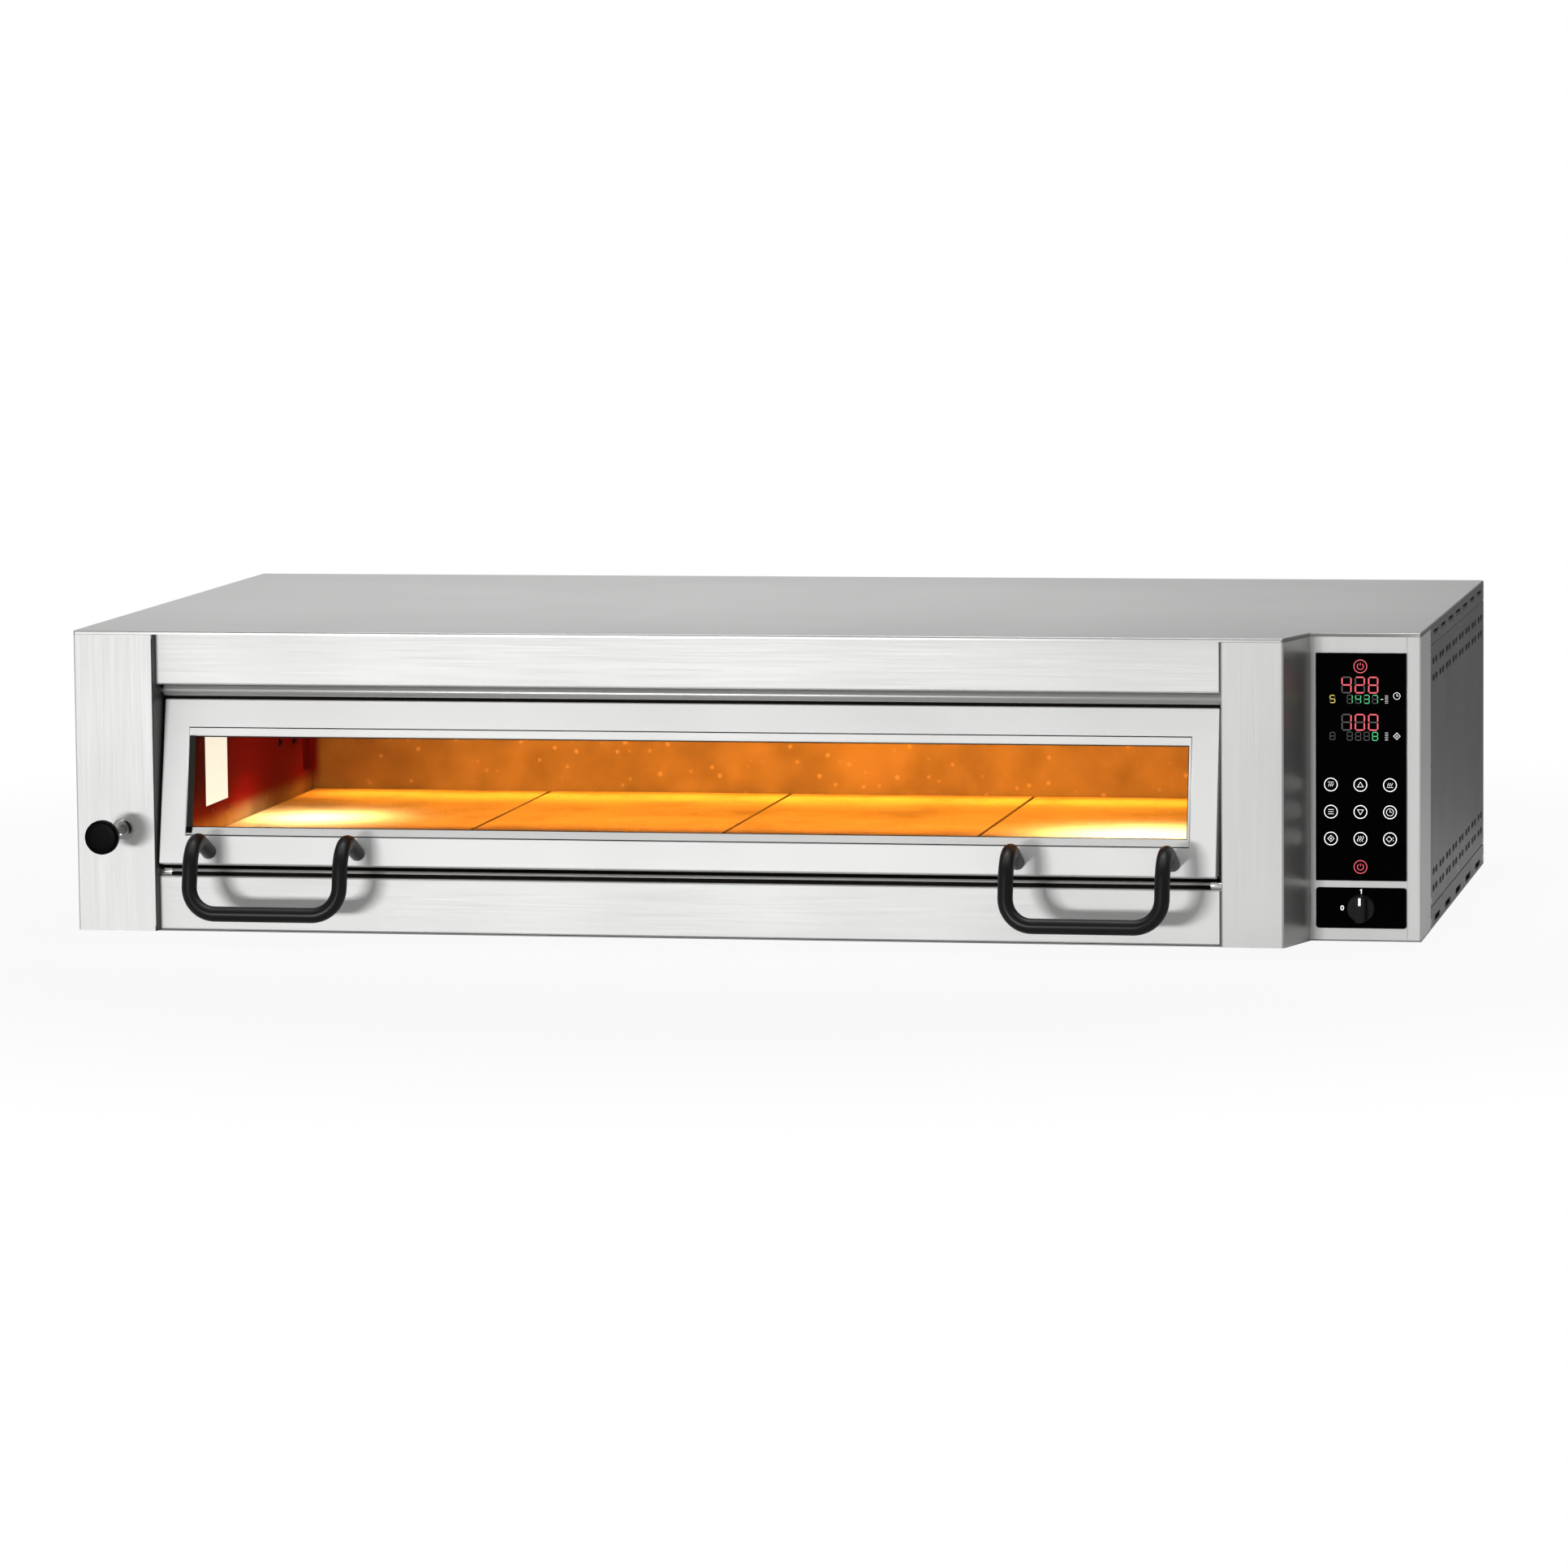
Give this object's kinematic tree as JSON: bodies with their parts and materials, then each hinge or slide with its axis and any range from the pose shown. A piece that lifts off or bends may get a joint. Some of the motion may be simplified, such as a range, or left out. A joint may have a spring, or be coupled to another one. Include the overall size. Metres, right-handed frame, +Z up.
{
  "type": "countertop pizza oven",
  "caption": "Wide low electric deck oven in brushed steel with a leaning glass door, tube handles, a steam vent pull and a recessed control end.",
  "frame": {"origin": "middle of the underside of the base pan, halfway between the sides and halfway between the columns' front and the back", "axes": "+X to the control end (right as seen from the front), +Y to the back, +Z up"},
  "size_m": [1.77, 1.0873, 0.4],
  "materials": {
    "stainless": "brushed",
    "grey_sheet": "satin",
    "polished_steel": "polished",
    "aluminised_steel": "matte",
    "element_sheath": "matte",
    "refractory_stone": "matte",
    "mineral_wool": "matte",
    "rope_seal": "matte",
    "oven_glass": "gloss",
    "lamp_glass": "satin",
    "panel_glass": "gloss",
    "black_coat": "satin",
    "black_plastic": "satin",
    "pale_plastic": "satin",
    "circuit_board": "satin"
  },
  "bodies": {
    "casing": {"top_cover": "stainless", "front_column_left": "stainless", "front_column_right": "stainless", "control_corner_post": "stainless", "upper_fascia": "stainless", "lower_fascia": "stainless", "base_pan": "grey_sheet", "back_panel": "grey_sheet", "side_panel_left": "grey_sheet", "side_panel_right": "grey_sheet", "hinge_pin_left": "polished_steel", "hinge_pin_right": "polished_steel", "sill_bar": "polished_steel", "sill_bush_left": "polished_steel", "sill_bush_right": "polished_steel", "vent_bush": "polished_steel", "chamber_probe": "polished_steel", "chamber_shell": "aluminised_steel", "chamber_back": "aluminised_steel", "lamp_housing_left": "aluminised_steel", "lamp_housing_right": "aluminised_steel", "vent_duct": "aluminised_steel", "upper_element_1": "element_sheath", "upper_element_2": "element_sheath", "upper_element_3": "element_sheath", "lower_element_1": "element_sheath", "lower_element_2": "element_sheath", "lower_element_3": "element_sheath", "hearth_stone_1": "refractory_stone", "hearth_stone_2": "refractory_stone", "hearth_stone_3": "refractory_stone", "hearth_stone_4": "refractory_stone", "insulation_top": "mineral_wool", "insulation_bottom": "mineral_wool", "insulation_back": "mineral_wool", "insulation_left": "mineral_wool", "insulation_right": "mineral_wool", "door_seal": "rope_seal", "lamp_glass_left": "lamp_glass", "lamp_glass_right": "lamp_glass", "control_glass": "panel_glass", "switch_plate": "black_plastic", "fan_frame": "black_plastic", "cable_gland": "black_plastic", "switch_body": "pale_plastic", "contactor": "pale_plastic", "terminal_block": "pale_plastic", "display_board": "circuit_board"},
    "door": {"door_frame": "stainless", "door_liner": "aluminised_steel", "door_bezel": "polished_steel", "door_glass": "oven_glass", "hinge_tube": "polished_steel", "door_handle_left": "black_coat", "door_handle_right": "black_coat"},
    "vent_pull": {"vent_knob": "black_plastic", "vent_rod": "polished_steel", "vent_gate": "aluminised_steel"},
    "main_switch": {"switch_knob": "black_plastic"},
    "fan": {"fan_rotor": "black_plastic"}
  },
  "joints": [
    {"name": "door_hinge", "type": "hinge", "parent": "casing", "child": "door", "pos_m": [0, -0.42797, 0.318], "axis": [-1, 0, 0], "range_deg": [0, 75]},
    {"name": "vent_slide", "type": "slide", "parent": "casing", "child": "vent_pull", "axis": [0, -1, 0], "range_m": [-0.055, 0]},
    {"name": "switch_turn", "type": "hinge", "parent": "casing", "child": "main_switch", "pos_m": [0.8075, -0.382, 0.0435], "axis": [0, -1, 0], "range_deg": [0, 90]},
    {"name": "fan_spin", "type": "hinge", "parent": "casing", "child": "fan", "pos_m": [0.8, 0.4, 0.2], "axis": [0, 1, 0], "continuous": true}
  ]
}
